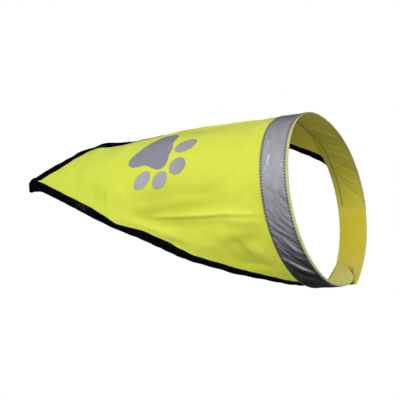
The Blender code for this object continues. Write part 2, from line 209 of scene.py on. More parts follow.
# A fold runs between two places on the cut panel, back from the band and across from the ridge,
# positive to the wearer's right. Height stands outward. Slant makes one side of it the steeper.
Fold = namedtuple("Fold", "back_1 across_1 back_2 across_2 height slant width")
PANEL_FOLDS = [Fold(*fold) for fold in (
    (158, 84, 10, 99, 2.4, 0.0, 10),
    (186, 66, 72, 64, -3.0, 0.0, 24),
    (22, 122, 84, 152, -3.4, 0.0, 19),
    (150, 128, 214, 92, 2.6, 0.0, 20),
    (268, 30, 246, 58, -1.6, 0.0, 12),
    (300, -12, 292, 26, -1.2, 0.0, 10),
    (140, -88, 16, -104, 2.2, 0.0, 10),
    (176, -70, 84, -60, -2.7, 0.0, 23),
    (30, -130, 92, -150, -3.1, 0.0, 18),
    (158, -120, 206, -96, 2.4, 0.0, 19),
    (262, -34, 240, -60, -1.5, 0.0, 12),
    (174, 87.0, 54, 91.0, 1.1, -2.6, 4.2),
    (160, 95.5, 60, 100.0, -2.7, 0.0, 8.0),
    (54, 92.5, 10, 96.5, 0.7, -1.6, 4.0),
    (78, 124, 54, 129, 1.6, 0.0, 8.0),
    (112, 76, 40, 82, 0.4, 0.4, 6.0),
    (180, 112, 138, 105, 0.7, 0.5, 7.0),
    (20, 90, 9, 106, -0.8, 0.3, 4.0),
    (16, 78, 6, 88, 0.6, 0.2, 3.6),
    (60, 126, 41, 154, -1.8, -0.9, 9.0),
    (18, 60, 46, 74, -0.7, 0.2, 7.0),
    (14, 150, 44, 176, 0.9, 0.3, 8.0),
    (20, 184, 60, 172, -0.8, 0.3, 7.0),
    (96, 136, 128, 146, 0.7, 0.3, 8.0),
    (249, 36, 251, 60, -0.6, 0.5, 4.0),
    (236, 42, 240, 64, 0.5, 0.3, 4.5),
    (232, 24, 214, 52, 0.7, 0.3, 7.0),
    (318, 8, 330, 20, 0.5, 0.2, 6.0),
    (300, -34, 288, -10, -0.7, 0.4, 6.0),
    (298, -66, 296, -40, -3.2, 0.0, 9.0),
    (190, 74, 98, 71, -0.4, -2.4, 13.0),
    (60, 154, 18, 160, -1.2, -2.3, 13.0),
    (52, 100, 16, 104, 1.0, 0.4, 8.0),
    (40, 168, 14, 176, 0.0, -1.6, 12.0),
    (216, 88, 142, 122, 0.0, -1.5, 8.0),
    (70, 115, 34, 119, 1.3, 0.8, 8.0),
    (204, 80, 172, 92, -2.3, 0.0, 11.0),
    (142, 118, 98, 122, 1.1, 0.0, 9.0),
    (172, 125, 140, 128, -1.5, 0.0, 7.0),
    (134, 129, 92, 133, 1.1, 0.0, 8.0),
    (182, 68, 146, 62, -1.0, 0.0, 10.0),
    (70, 168, 40, 176, -1.5, 0.0, 9.0),
    (196, 64, 150, 58, -1.2, 0.6, 9.0),
    (140, 58, 84, 60, -0.8, 0.8, 8.0),
    (92, 60, 62, 52, -0.6, 0.6, 7.0),
    (128, -94, 44, -101, 0.5, 0.8, 4.5),
    (96, -78, 30, -88, 0.0, 0.6, 5.5),
    (186, -84, 138, -112, 0.6, 0.4, 6.0),
    (16, -66, 40, -52, -0.7, 0.2, 7.0),
    (12, -160, 50, -184, 0.9, 0.3, 8.0),
    (104, -132, 140, -126, 0.6, 0.3, 8.0),
    (236, -18, 222, -44, 0.6, 0.3, 7.0),
)]
FOLD_END_HEIGHT = 0.55


def fold_heights(folds, back, across):
    """How far the cloth stands out at places on a cut piece. A fold is lower at its two ends."""
    height = np.zeros_like(back)
    for fold in folds:
        run = np.array([fold.back_2 - fold.back_1, fold.across_2 - fold.across_1], float)
        length = float(np.hypot(*run))
        off_back = back - fold.back_1
        off_across = across - fold.across_1
        share = np.clip((off_back * run[0] + off_across * run[1]) / length**2, 0.0, 1.0)
        side = (off_back * run[1] - off_across * run[0]) / length / fold.width
        far = np.hypot(off_back - run[0] * share, off_across - run[1] * share)
        fade = FOLD_END_HEIGHT + (1.0 - FOLD_END_HEIGHT) * np.sin(math.pi * share)
        height += fade * bell(far, fold.width) * (fold.height + fold.slant * 2.0 * side)
    return height


# The cloth's uneven waves: their size back and across and their height, in mm, and the noise's seed.
Rumple = namedtuple("Rumple", "size_back size_across height seed")
RUMPLES = (Rumple(46.0, 60.0, 1.1, 3.0), Rumple(17.0, 23.0, 0.3, 12.0))


def rumple_heights(back, across):
    """How far the uneven waves stand out, about 1 mm either way at most."""
    height = np.zeros(back.size)
    for i, (x, y) in enumerate(zip(back.flat, across.flat)):
        for wave in RUMPLES:
            place = Vector((x / wave.size_back, y / wave.size_across, wave.seed))
            height[i] += wave.height * noise.noise(place)
    return height.reshape(back.shape)


# Waves along a seam or a hem: radians to a mm, how far their phase swings and at what rate, their
# height and how far from the line they reach, in mm.
Wave = namedtuple("Wave", "rate swing swing_rate height reach")
GATHERS = Wave(0.62, 2.0, 0.043, 0.22, 9.0)
HEM_WAVES = Wave(0.31, 2.4, 0.037, 0.35, 20.0)


def wave_heights(wave, run, off, phase=0.0, swing_phase=0.0):
    """How far a wave stands out, at a run along its line and a distance off it."""
    swing = wave.swing * np.sin(run * wave.swing_rate + swing_phase)
    return wave.height * np.sin(run * wave.rate + swing + phase) * bell(off, wave.reach)


def square_to(surface):
    """Unit directions that stand outward, square to a grid of points."""
    return unit(np.cross(np.gradient(surface, axis=0), np.gradient(surface, axis=1)))


ROW_SHARES = 500
LAST_SHARE = 0.996
row_shares = np.linspace(0.0, LAST_SHARE, ROW_SHARES)
row_places = panel_row(0.0)[0]
bare = np.stack([panel_row(share)[1] for share in row_shares])
half_width = panel_half_width(row_shares)[:, None]
back = np.repeat(row_shares[:, None] * BACK_LENGTH, row_places.size, axis=1)
across = half_width * row_places
from_edge = half_width - np.abs(across)

# Folds, curls and rumples come in over some mm from the seam, where the gathers and the flare are,
# and fade with the hems' waves over the last fifth of the way to the tail. The curls reach in from
# the hems.
SEAM_FADE = 26.0
TAIL_FADE = 5.0
CURL_REACH = 18.0
RUMPLE_START = 14.0
GATHER_START = 3.0
FLARE_END = 44.0
off_seam = smooth_step(back / SEAM_FADE)
off_tail = smooth_step((1.0 - row_shares) * TAIL_FADE)[:, None]
row_drapes = curve_weights(len(DRAPES), row_shares * (len(DRAPES) - 1)) @ np.array(DRAPES)
drape = row_drapes[:, :DRAPE_PLACES] @ curve_weights(DRAPE_PLACES, (row_places + 1.0) / DRAPE_STEP).T
left_curl = row_drapes[:, DRAPE_PLACES : DRAPE_PLACES + 1]
right_curl = row_drapes[:, DRAPE_PLACES + 1 :]
curled = np.clip(1.0 - from_edge / np.minimum(CURL_REACH, half_width), 0.0, 1.0)
drape += np.where(row_places > 0.0, right_curl, left_curl) * curled**2 * off_seam * off_tail
folded = fold_heights(PANEL_FOLDS, back, across) * off_seam * off_tail
drape += folded
drape += rumple_heights(back, across) * smooth_step(back / RUMPLE_START) * off_tail
drape += wave_heights(GATHERS, across, back) * smooth_step(back / GATHER_START)
drape += wave_heights(HEM_WAVES, back, from_edge, np.sign(row_places)) * off_tail
seam_turns = np.interp(row_places * PANEL_HALF_WIDTH, loop_run, loop_turns)
drape += seam_flare(seam_turns) * (1.0 - smooth_step(back / FLARE_END))

# At the seam the drape goes the loop's own way outward, and past it square to the panel.
seam_outward = loop_outward(seam_turns)
drape_way = unit(square_to(bare) * off_seam[..., None] + seam_outward * (1.0 - off_seam[..., None]))
draped = bare + drape_way * drape[..., None]
draped_square = square_to(draped)
draped_side = unit(np.gradient(draped, axis=1))


def from_table(table, share, place):
    """Values between the table's rows, for places from -1, left, to 1, right."""
    row = np.clip(share / LAST_SHARE, 0.0, 1.0) * (ROW_SHARES - 1)
    column = (np.clip(place, -1.0, 1.0) + 1.0) / 2.0 * (len(row_places) - 1)
    low_row = np.minimum(row.astype(int), ROW_SHARES - 2)
    low_column = np.minimum(column.astype(int), len(row_places) - 2)
    over_row = (row - low_row)[:, None]
    over_column = (column - low_column)[:, None]
    value = 0.0
    for row_step, row_weight in ((0, 1.0 - over_row), (1, over_row)):
        left = table[low_row + row_step, low_column]
        right = table[low_row + row_step, low_column + 1]
        value = value + (left * (1.0 - over_column) + right * over_column) * row_weight
    return value


def panel_points(share, place, lift=0.0):
    """Places on the draped panel, or past its side edges, moved outward by the lift."""
    beyond = np.sign(place) * np.clip(np.abs(place) - 1.0, 0.0, None) * panel_half_width(share)
    points = from_table(draped, share, place)
    points += from_table(draped_side, share, np.sign(place)) * beyond[:, None]
    return points + unit(from_table(draped_square, share, place)) * np.reshape(lift, (-1, 1))


def one_piece(name, shape, *finishes):
    """An object at the origin, made from one bmesh."""
    mesh = bpy.data.meshes.new(name)
    shape.to_mesh(mesh)
    shape.free()
    for finish in finishes:
        mesh.materials.append(finish)
    made = bpy.data.objects.new(name, mesh)
    bpy.context.scene.collection.objects.link(made)
    return made


def sewn_sheet(name, columns, rows, lay, thick, finish, inner_finish=None, relief=None):
    """A grid laid as cloth by lay(u, v), both from 0 to 1, which gives points and cut places in mm.

    A relief(u, v) gives how far the folds stand out there, in mm, for the finish to read.
    """
    shape = bmesh.new()
    bmesh.ops.create_grid(shape, x_segments=columns, y_segments=rows, size=0.5)
    shape.verts.ensure_lookup_table()
    places = np.array([(vertex.co.x + 0.5, vertex.co.y + 0.5) for vertex in shape.verts])
    points, cut = lay(places[:, 0], places[:, 1])
    for vertex, point in zip(shape.verts, points):
        vertex.co = point * MM
    stands = relief(places[:, 0], places[:, 1]) if relief else np.zeros(len(places))
    cut_map = shape.loops.layers.uv.new("cut")
    relief_map = shape.loops.layers.uv.new("relief")
    for face in shape.faces:
        face.smooth = True
        for loop in face.loops:
            loop[cut_map].uv = cut[loop.vert.index]
            loop[relief_map].uv = (stands[loop.vert.index], 0.0)
    finishes = [finish, inner_finish] if inner_finish else [finish]
    made = one_piece(name, shape, *finishes)
    wall = made.modifiers.new("wall", "SOLIDIFY")
    wall.material_offset = len(finishes) - 1
    wall.thickness = thick * MM
    wall.offset = 0.0
    wall.use_even_offset = True
    return made


class Socket:
    """A value inside a finish. Python's operators on it add the Math nodes."""

    def __init__(self, finish, socket):
        self.finish = finish
        self.socket = socket

    def maths(self, operation, *values):
        return self.finish.node("ShaderNodeMath", {"operation": operation}, dict(enumerate(values)))

    def __add__(self, other):
        return self.maths("ADD", self, other)

    def __mul__(self, other):
        return self.maths("MULTIPLY", self, other)

    def __sub__(self, other):
        return self.maths("SUBTRACT", self, other)

    def __rsub__(self, other):
        return self.maths("SUBTRACT", other, self)

    __radd__ = __add__
    __rmul__ = __mul__

    def sine(self):
        return self.maths("SINE", self)

    def ribbed(self, pitch):
        """A sine wave over the value, one wave to a pitch."""
        return (self * (2.0 * math.pi / pitch)).sine()

    def clamped(self):
        return self.maths("MINIMUM", self.maths("MAXIMUM", self, 0.0), 1.0)


class Finish:
    """The finish of a cloth or trim: a Principled material and the nodes that vary it."""

    def __init__(self, name, **constants):
        self.material = bpy.data.materials.new(name)
        self.material.use_nodes = True
        self.tree = self.material.node_tree
        self.shader = self.tree.nodes["Principled BSDF"]
        for label, value in constants.items():
            self.shader.inputs[label.replace("_", " ")].default_value = value
        self.cut = self.node("ShaderNodeTexCoord", {}, {}, "UV")
        self.back = self.node("ShaderNodeSeparateXYZ", {}, {0: self.cut}, "X")
        self.across = Socket(self, self.back.socket.node.outputs["Y"])

    def node(self, kind, settings, sockets, output=0):
        """A node with its settings and the values or links of its sockets, as one of its outputs."""
        made = self.tree.nodes.new(kind)
        for label, value in settings.items():
            setattr(made, label, value)
        for label, value in sockets.items():
            if isinstance(value, Socket):
                self.tree.links.new(value.socket, made.inputs[label])
            else:
                made.inputs[label].default_value = value
        return Socket(self, made.outputs[output])

    def noise(self, per_mm, detail, seed, stretch=(1.0, 1.0)):
        """Noise between 0 and 1 over the cut piece, with its scale in lumps to a millimetre."""
        sockets = {0: self.cut, 1: (*stretch, 1.0)}
        stretched = self.node("ShaderNodeVectorMath", {"operation": "MULTIPLY"}, sockets)
        sockets = {"Vector": stretched, "Scale": per_mm, "Detail": detail, "W": seed}
        return self.node("ShaderNodeTexNoise", {"noise_dimensions": "4D"}, sockets, "Fac")

    def relief(self):
        """How far the folds stand out, in mm, as sewn_sheet wrote it on the piece."""
        place = self.node("ShaderNodeUVMap", {"uv_map": "relief"}, {}, "UV")
        return self.node("ShaderNodeSeparateXYZ", {}, {0: place}, "X")

    def mix(self, share, first, second):
        """A colour between two, where a share is 0 for the first and 1 for the second."""
        return self.node("ShaderNodeMix", {"data_type": "RGBA"}, {0: share, 6: first, 7: second}, 2)

    def tinted(self, ground, *tints):
        """A ground colour with tints laid over it in turn, each a share and a colour."""
        for share, colour in tints:
            ground = self.mix(share, ground, colour)
        return ground

    def feed(self, label, value):
        self.tree.links.new(value.socket, self.shader.inputs[label])

    def raise_surface(self, height, distance_mm):
        """Bump, where a height of 1 stands for the distance."""
        sockets = {"Height": height, "Distance": distance_mm * MM}
        self.feed("Normal", self.node("ShaderNodeBump", {}, sockets, "Normal"))


THREAD_PITCH = 0.62
SLUB_STRETCH = 0.06
Dye = namedtuple("Dye", "deep pale shade")


def woven_polyester(name, dye, seed):
    """The yellow cloth: uneven in tone, with a plain weave and slubs. Its colour is fed in later."""
    cloth = Finish(name, Sheen_Weight=0.1, Sheen_Roughness=0.4, Specular_IOR_Level=0.35)
    tone = cloth.noise(0.018, 3.0, seed)
    mottle = cloth.noise(0.11, 4.0, seed + 1.0)
    threads = cloth.back.ribbed(THREAD_PITCH) * cloth.across.ribbed(THREAD_PITCH)
    slub_back = cloth.noise(0.9, 2.0, seed + 3.0, (SLUB_STRETCH, 1.0))
    slub_across = cloth.noise(0.9, 2.0, seed + 6.0, (1.0, SLUB_STRETCH))
    slub = slub_back * 0.5 + slub_across * 0.5
    shade = threads * 0.05 + slub * 0.16 + mottle * 0.14
    cloth.colour = cloth.mix(shade, cloth.mix(tone, dye.deep, dye.pale), dye.shade)
    cloth.feed("Roughness", slub * 0.25 + 0.5)
    cloth.raise_surface(threads * 0.5 + slub * 1.1 + mottle * 3.0, 0.07)
    return cloth


# The cloth is greener toward the tail and grubby in patches, and has painted shade low down by the seam.
# Hollows have painted shade and crests a painted highlight, beyond what the light alone makes them.
OUTSIDE_DYE = Dye((0.69, 0.76, 0.045, 1.0), (0.79, 0.83, 0.085, 1.0), (0.54, 0.62, 0.02, 1.0))
GREENER = (0.56, 0.76, 0.05, 1.0)
GRUBBY_AND_SEAM_SHADE = (0.50, 0.58, 0.04, 1.0)
HOLLOW_SHADE = (0.46, 0.52, 0.025, 1.0)
CREST_HIGHLIGHT = (0.84, 0.90, 0.13, 1.0)
yellow = woven_polyester("fluorescent_polyester", OUTSIDE_DYE, 2.0)
to_tail = ((yellow.back - 150.0) * 0.007).clamped()
grubby = ((yellow.noise(0.045, 3.0, 41.0) - 0.48) * 3.0).clamped()
low_down = ((yellow.across * yellow.across - 900.0) * 0.0003).clamped()
# Painted shade near the seam, away from the ridge.
seam_shade = ((20.0 - yellow.back) * 0.06).clamped() * low_down
relief = yellow.relief()
yellow.feed("Base Color", yellow.tinted(
    yellow.colour,
    (to_tail * 0.35, GREENER),
    (grubby * 0.2 + seam_shade * 0.3, GRUBBY_AND_SEAM_SHADE),
    # Painted shade in the hollows and a painted highlight on the crests.
    ((relief * -0.3).clamped() * 0.5, HOLLOW_SHADE),
    ((relief * 0.35).clamped() * 0.4, CREST_HIGHLIGHT),
))

# The inside of the same cloth is warmer in tone, as light comes through from the outside.
INSIDE_DYE = Dye((0.66, 0.60, 0.05, 1.0), (0.74, 0.67, 0.07, 1.0), (0.48, 0.47, 0.03, 1.0))
inside = woven_polyester("polyester_inside", INSIDE_DYE, 12.0)
inside.feed("Base Color", inside.colour)

PANEL_COLUMNS = 256
PANEL_ROWS = 184


def panel_place(u, v):
    """Share of the way back and place across, with the first row at the tail."""
    return PANEL_END + (SEAM_SHARE - PANEL_END) * v, 2.0 * u - 1.0


def lay_panel(u, v):
    share, place = panel_place(u, v)
    cut = np.stack([share * BACK_LENGTH, place * panel_half_width(share)], axis=-1)
    return panel_points(share, place), cut


def panel_relief(u, v):
    return from_table(folded[..., None], *panel_place(u, v))[:, 0]


panel_finishes = (yellow.material, inside.material)
panel = sewn_sheet(
    "panel_cloth", PANEL_COLUMNS, PANEL_ROWS, lay_panel, CLOTH_THICK, *panel_finishes, relief=panel_relief
)
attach(panel, "root")
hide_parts("back_panel")


# Side bindings
# Black bias tape folded over each side edge of the panel and stitched through near its inner edge.
# At the tail the right one is turned over the blunt tip.
BIND_LEAF = 11.5
INNER_LEAF = 1.25
BIND_THICK = 0.6
LAYER_GAP = 0.12
BIND_LIFT = CLOTH_THICK / 2 + LAYER_GAP + BIND_THICK / 2
BIND_ROUND = 1.5
BIND_STATIONS = 330
BIND_STEPS = 22

# The black is a little paler where lint sits on it, and has a painted grey sheen at one place on its
# outer leaf.
RIB_PITCH = 0.9
SHEEN_BACK = 288.0
BLACK = (0.0015, 0.0015, 0.002, 1.0)
BLACK_WORN = (0.010, 0.010, 0.012, 1.0)
BLACK_PAINTED_SHEEN = (0.055, 0.055, 0.06, 1.0)
black = Finish("black_bias_tape", Specular_IOR_Level=0.0)
ribs = (black.back + black.across).ribbed(RIB_PITCH)
lint = black.noise(0.35, 4.0, 1.0)
# A painted grey sheen, patchy with the lint, at one place on the outer leaf.
off_sheen = black.back - SHEEN_BACK
painted_sheen = ((36.0 - off_sheen * off_sheen * 0.16) * 0.04).clamped()
painted_sheen = painted_sheen * ((black.across - 16.0) * 0.4).clamped() * ((lint - 0.4) * 4.0).clamped()
worn = black.mix(((lint - 0.42) * 1.6).clamped(), BLACK, BLACK_WORN)
black.feed("Base Color", black.mix(painted_sheen * 0.45, worn, BLACK_PAINTED_SHEEN))
black.feed("Roughness", lint * 0.3 + 0.6)
black.raise_surface(ribs * 0.4 + lint, 0.09)

LEAF_SHARE = 0.40


def wrap_over(v):
    """Round the fold: how far in from the edge as a share of the leaf, how far out, and the side."""
    inner_leaf = np.clip(1.0 - v / LEAF_SHARE, 0.0, None)
    outer_leaf = np.clip(1.0 - (1.0 - v) / LEAF_SHARE, 0.0, None)
    turn = np.clip((v - LEAF_SHARE) / (1.0 - 2.0 * LEAF_SHARE), 0.0, 1.0) * math.pi
    return inner_leaf + outer_leaf, np.sin(turn), -np.cos(turn)


# Each side's leaf is uneven in width: share of the way back and how wide against the usual.
LEAF_WIDTHS = {
    1.0: (
        (0.0, 1.5), (0.06, 1.3), (0.12, 1.15), (0.20, 1.22), (0.26, 1.0), (0.32, 0.88), (0.38, 1.0),
        (0.44, 1.24), (0.51, 1.15), (0.56, 0.85), (0.60, 0.68), (0.64, 0.98), (0.69, 1.16),
        (0.78, 1.08), (0.90, 1.1), (1.0, 1.0),
    ),
    -1.0: (
        (0.0, 1.0), (0.30, 1.1), (0.50, 1.2), (0.62, 2.2), (0.69, 2.1), (0.72, 1.5), (0.745, 0.8),
        (0.765, 0.5), (0.785, 1.35), (0.84, 1.3), (0.93, 1.4), (1.0, 1.2),
    ),
}
RIDGE_GAP = 0.3


def leaf_reach(hand, share):
    """How far a binding's leaf reaches in from the side edge, for hand 1 right and -1 left."""
    shares, factors = zip(*LEAF_WIDTHS[hand])
    return np.minimum(BIND_LEAF * np.interp(share, shares, factors), panel_half_width(share) - RIDGE_GAP)


TAIL_SWING = 7.0
SWING_START = 0.925
SWING_RUN = 0.06


def tail_swing(share):
    """How far the right binding runs out past the side edge at the tip, where it lies straight."""
    return TAIL_SWING * smooth_step((share - SWING_START) / SWING_RUN)


BIND_TAIL = 0.987
BIND_CROWN = 0.35
BIND_WANDER = 0.25
BIND_WANDER_RATE = 90.0
BIND_STRIP = 24.0


def lay_binding(hand):
    """How one binding is laid: its leaves crown a little and its inner edges wander."""

    def lay(u, v):
        share = SEAM_SHARE + (BIND_TAIL - SEAM_SHARE) * u
        inward, outward, side = wrap_over(v)
        width = panel_half_width(share)
        crown = BIND_CROWN * np.sin(math.pi * np.clip(inward, 0.0, 1.0))
        wander = BIND_WANDER * np.sin(share * BIND_WANDER_RATE + hand) * inward
        leaf = leaf_reach(hand, share) * np.where(v < LEAF_SHARE, INNER_LEAF, 1.0)
        swing = tail_swing(share) if hand > 0.0 else 0.0
        leaf = np.minimum(leaf, width - RIDGE_GAP) + swing
        reach = inward * leaf + wander - outward * BIND_ROUND - swing
        points = panel_points(share, hand * (1.0 - reach / width), side * (BIND_LIFT + crown))
        return points, np.stack([share * BACK_LENGTH, v * BIND_STRIP], axis=-1)

    return lay


BINDINGS = (
    ("binding_cloth_right", 1.0, "binding_right"),
    ("binding_cloth_left", -1.0, "binding_left"),
)
for name, hand, cad_name in BINDINGS:
    binding = sewn_sheet(name, BIND_STATIONS, BIND_STEPS, lay_binding(hand), BIND_THICK, black.material)
    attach(binding, "root")
    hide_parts(cad_name)

# The turned end goes over both bindings, with its corners rounded and its right end a little long.
TURN_LEAF = 7.0
TURN_REACH = 8.0
TURN_NARROWER = 0.4
TURN_CORNER = 5.0
TURN_LONGER = 0.8
TURN_STATIONS = 24
TURN_CUT_WIDTH = 16.0
TURN_STRIP = 20.0


def lay_tail_turn(u, v):
    """The turned end of the binding, across the blunt tip."""
    inward, outward, side = wrap_over(v)
    place = 2.0 * u - 1.0
    share = PANEL_END - (inward * TURN_LEAF - outward * TURN_REACH) / BACK_LENGTH
    half = panel_half_width(PANEL_END) + BIND_ROUND - TURN_NARROWER
    rounded = 1.0 - outward * (1.0 - np.sqrt(np.clip(1.0 - place**4, 0.0, 1.0)))
    share = share - (1.0 - rounded) * TURN_CORNER / BACK_LENGTH
    place = (place * half + (tail_swing(share) + TURN_LONGER) * u) / panel_half_width(share)
    points = panel_points(share, place, side * (BIND_LIFT + BIND_THICK + BIND_CROWN))
    return points, np.stack([u * TURN_CUT_WIDTH, v * TURN_STRIP], axis=-1)


tail_turn = sewn_sheet(
    "binding_tail_turn", TURN_STATIONS, BIND_STEPS, lay_tail_turn, BIND_THICK, black.material
)
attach(tail_turn, "root")


# Paw print
# A main pad and four toes cut from silver reflective film and heat-pressed on the panel, so
# they bend with the cloth. Fine glass beads give the film its grey, grainy shine.
FILM_THICK = 0.2
FILM_LIFT = CLOTH_THICK / 2 + FILM_THICK / 2 + LAYER_GAP
PAD_CELLS = 40
TOE_CELLS = 18
Toe = namedtuple("Toe", "cad_name back across half_long half_short turn_degrees")
TOES = (
    Toe("paw_toe_1", 121.0, -17.5, 17.0, 11.0, 31.0),
    Toe("paw_toe_2", 127.0, 16.5, 13.5, 11.5, 41.0),
    Toe("paw_toe_3", 154.7, 34.2, 14.0, 10.0, 43.0),
    Toe("paw_toe_4", 183.3, 32.0, 16.0, 9.0, 40.0),
)
PAD_BACK = 172.0
PAD_ACROSS = -12.0
PAD_RADIUS = 22.0
Swell = namedtuple("Swell", "bearing_degrees height spread_degrees")
PAD_SWELLS = (
    Swell(28.0, 18.0, 26.0),
    Swell(130.0, 14.5, 34.0),
    Swell(-175.0, 7.0, 22.0),
    Swell(-115.0, 26.0, 32.0),
)
FILM_BY_BAND = (0.27, 0.265, 0.26, 1.0)


def pressed_film(name, dark, pale):
    """Reflective film: fine beads over slow clouds, less blue toward the band."""
    film = Finish(name, Metallic=0.25, Specular_IOR_Level=0.6)
    beads = film.noise(2.2, 1.0, 4.0)
    clouds = film.noise(0.05, 3.0, 7.0)
    toward_band = ((150.0 - film.back) * 0.03).clamped()
    grain = film.mix(clouds * 0.6 + beads * 0.4, dark, pale)
    film.feed("Base Color", film.mix(toward_band * 0.5, grain, FILM_BY_BAND))
    film.feed("Roughness", beads * 0.2 + 0.38)
    film.raise_surface(beads + clouds * 4.0, 0.03)
    return film.material


pad_film = pressed_film("silver_film_pad", (0.20, 0.20, 0.26, 1.0), (0.305, 0.305, 0.375, 1.0))
toe_film = pressed_film("silver_film_toes", (0.32, 0.32, 0.35, 1.0), (0.45, 0.45, 0.485, 1.0))


def disc_place(u, v):
    """Places in the unit disc for places in the unit square."""
    x = 2.0 * u - 1.0
    y = 2.0 * v - 1.0
    return x * np.sqrt(1.0 - y * y / 2.0), y * np.sqrt(1.0 - x * x / 2.0)


def film_points(back, across):
    """Places just above the draped panel, and the places on the cut panel they come from."""
    share = back / BACK_LENGTH
    points = panel_points(share, across / panel_half_width(share), FILM_LIFT)
    return points, np.stack([back, across], axis=-1)


def lay_pad(u, v):
    x, y = disc_place(u, v)
    bearing = np.degrees(np.arctan2(y, x))
    radius = PAD_RADIUS
    for swell in PAD_SWELLS:
        off = (bearing - swell.bearing_degrees + 180.0) % 360.0 - 180.0
        radius = radius + swell.height * bell(off, swell.spread_degrees)
    return film_points(PAD_BACK + x * radius, PAD_ACROSS + y * radius)


def lay_toe(toe):
    """How one toe is laid: an oval, turned on the cut panel."""
    turn = math.radians(toe.turn_degrees)

    def lay(u, v):
        x, y = disc_place(u, v)
        long_way = x * toe.half_long
        short_way = y * toe.half_short
        back = toe.back + long_way * math.cos(turn) - short_way * math.sin(turn)
        across = toe.across + long_way * math.sin(turn) + short_way * math.cos(turn)
        return film_points(back, across)

    return lay


paw_pieces = [("paw_film_pad", "paw_pad", PAD_CELLS, lay_pad, pad_film)]
for toe in TOES:
    name = toe.cad_name.replace("paw_", "paw_film_")
    paw_pieces.append((name, toe.cad_name, TOE_CELLS, lay_toe(toe), toe_film))

for name, cad_name, cells, lay, film in paw_pieces:
    piece = sewn_sheet(name, cells, cells, lay, FILM_THICK, film)
    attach(piece, "root")
    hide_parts(cad_name)


# Neck band
# A strip of the same yellow cloth, sewn to the panel's base round the neck. Its two ends run on as
# straps and lap at the foot of the loop, the left one outside the right.
RIGHT_STRAP_END = math.radians(170.0)
RIGHT_ROUND_START = math.radians(144.0)
RIGHT_ROUND = 33.0
RIGHT_ROUND_POWER = 2.2
RIGHT_ROUND_REAR = 4.0
LEFT_STRAP_END = math.radians(-214.0)
LEFT_SKEW_START = math.radians(-183.0)
LEFT_SKEW = 5.0
RIGHT_LAP_REACH = math.radians(34.0)
RIGHT_LAP_BLEND = math.radians(17.0)
LEFT_LAP_REACH = math.radians(51.0)
LEFT_LAP_BLEND = math.radians(25.5)
LAP_SHIFT = 0.85
BAND_THICK = 0.7
BAND_COLUMNS = 420
BAND_ROWS = 28
TAPE_WIDTH = 38.0
TAPE_SETBACK = 1.0
TAPE_ROWS_IN = 1.8
REAR_ROW = TAPE_SETBACK + TAPE_ROWS_IN
FRONT_ROW = TAPE_SETBACK + TAPE_WIDTH - TAPE_ROWS_IN

# A crease on the band is a fold between two places: turn in degrees round the loop and mm from the
# rear, twice, then height, slant and width. TURN_RUN is the run of one degree along the band.
TURN_RUN = math.radians(1.0) * 0.5 * (LOOP_HALF_HEIGHT + LOOP_HALF_WIDTH)
BAND_CREASES = (
    (79, 5, 96, 35, 2.1, 0.5, 2.3),
    (75, 12, 91, 35, -1.1, 0.3, 2.4),
    (85, 4, 99, 20, -1.0, 0.3, 2.2),
    (67, 18, 78, 36, 1.3, 0.5, 2.0),
    (78, 19, 83, 38, 1.0, 0.4, 1.8),
    (62, 16, 71, 34, -0.9, 0.3, 2.2),
    (71, 6, 78, 16, 0.9, 0.3, 1.9),
    (88, 20, 95, 37, 0.9, 0.4, 1.8),
    (92, 12, 100, 27, -0.8, 0.3, 1.8),
    (56, 10, 63, 24, 0.8, 0.4, 2.0),
    (51, 24, 59, 38, 0.9, 0.3, 2.2),
    (45, 8, 52, 18, 0.5, 0.3, 2.2),
    (36, 24, 44, 36, -0.6, 0.3, 2.4),
    (22, 6, 27, 18, 0.4, 0.2, 2.4),
    (96, 10, 108, 36, 0.8, 0.4, 3.4),
    (108, 5, 118, 26, -0.7, 0.3, 3.4),
    (120, 16, 132, 34, 0.6, 0.3, 4.0),
    (46, 20, 54, 36, 0.4, 0.2, 3.2),
    (30, 6, 36, 18, -0.4, 0.2, 4.0),
    (12, 24, 18, 38, 0.4, 0.2, 3.6),
    (-20, 5, -14, 18, 0.4, 0.2, 3.6),
    (-44, 22, -36, 38, -0.5, 0.2, 3.6),
    (-66, 4, -58, 20, 0.6, 0.3, 3.4),
    (-84, 38, -72, 14, 1.2, 0.7, 3.0),
    (-94, 36, -82, 12, -1.3, 0.6, 2.8),
    (-103, 40, -95, 12, 1.4, 0.8, 2.8),
    (-112, 34, -104, 10, -1.2, 0.6, 2.8),
    (-121, 38, -113, 14, 1.2, 0.7, 3.0),
    (-131, 34, -122, 10, -1.2, 0.6, 3.0),
    (-140, 38, -131, 18, 1.1, 0.6, 3.0),
    (-152, 30, -146, 10, 0.5, 0.3, 4.0),
    (-176, 8, -168, 28, -0.5, 0.2, 4.0),
)
CREASE_SHARE = 0.8
creases = [
    Fold(turn_1 * TURN_RUN, along_1, turn_2 * TURN_RUN, along_2, *shape)
    for turn_1, along_1, turn_2, along_2, *shape in BAND_CREASES
]


def crease_heights(turn, along):
    """How far the band's creases stand out, in mm, at a share of their height in the table."""
    return fold_heights(creases, np.degrees(turn) * TURN_RUN, along) * CREASE_SHARE


# The cloth puckers along both rows of the tape's stitches, in waves of their own phase that swell
# and fade. The band also twists a little, sags at its foot, and flares most at its front edge.
PUCKERS = (
    (REAR_ROW, Wave(0.95, 1.9, 0.061, 0.16, 5.5), 0.0),
    (FRONT_ROW, Wave(0.95, 1.9, 0.061, 0.24, 5.5), 1.7),
)
SWELL = 0.45
SWELL_RATE = 0.043
SWELL_SHIFT = 3.0
TWIST = 0.5
TWIST_RATE = 3.0
TWIST_PHASE = 0.6
SAG = 2.6
SAG_MIDDLE_DEGREES = 145.0
SAG_SPREAD_DEGREES = 27.0
FRONT_FLARE = 0.6


